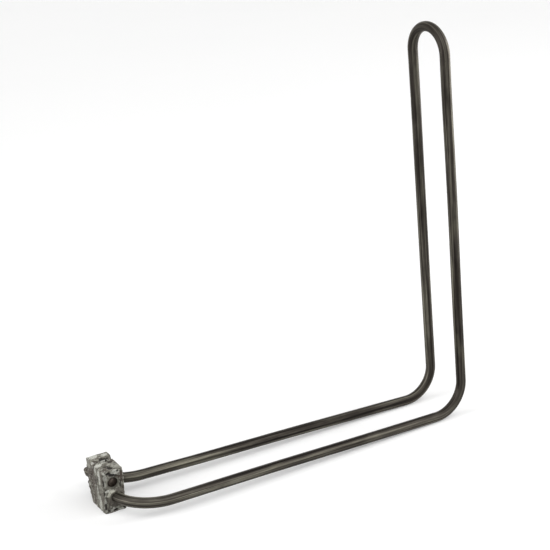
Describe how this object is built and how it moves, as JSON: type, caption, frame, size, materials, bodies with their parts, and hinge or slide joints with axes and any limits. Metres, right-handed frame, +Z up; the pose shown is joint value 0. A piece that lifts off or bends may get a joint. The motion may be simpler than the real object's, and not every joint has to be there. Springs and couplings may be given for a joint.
{
  "type": "tubular heating element",
  "caption": "Hairpin tubular heating element bent to an L: paired sheathed runs from a cast fixing head, rising as upright legs joined by a U-bend.",
  "frame": {"origin": "middle of the fixing head's bottom face, on the plane the element rests on", "axes": "+Z up, +X from the fixing head along the paired runs to the upright legs, +Y from the near tube to the far tube"},
  "size_m": [0.317, 0.0862, 0.3236],
  "materials": {
    "sheath_steel": "bare steel tube, heat-darkened to olive brown, drawn lengthwise, satin",
    "head_casting": "rough grey casting, pitted, scaled and stained brown",
    "head_filler": "pale rough filler metal with a dull glint",
    "hardware_steel": "heat-browned steel, dull",
    "pin_steel": "drawn steel pin, dull",
    "magnesia": "compacted magnesium oxide, sealed inside",
    "seal_silicone": "cured silicone plug, matt",
    "bush_ceramic": "steatite bush, matt, slightly soiled"
  },
  "bodies": {
    "root": {"sheath": "sheath_steel", "oxide_plug_near": "magnesia", "oxide_plug_far": "magnesia", "cold_pin_near": "pin_steel", "cold_pin_far": "pin_steel", "end_seal_near": "seal_silicone", "end_seal_far": "seal_silicone", "terminal_near": "pin_steel", "terminal_far": "pin_steel", "end_bush_near": "bush_ceramic", "end_bush_far": "bush_ceramic", "head_face": "head_casting", "head_joint": "head_filler", "head_core": "head_casting", "head_back": "head_casting", "entry_filler": "head_filler", "exit_filler": "head_filler", "stud": "hardware_steel", "stud_collar": "hardware_steel", "stud_washer": "hardware_steel", "stud_nut": "hardware_steel"}
  },
  "joints": []
}
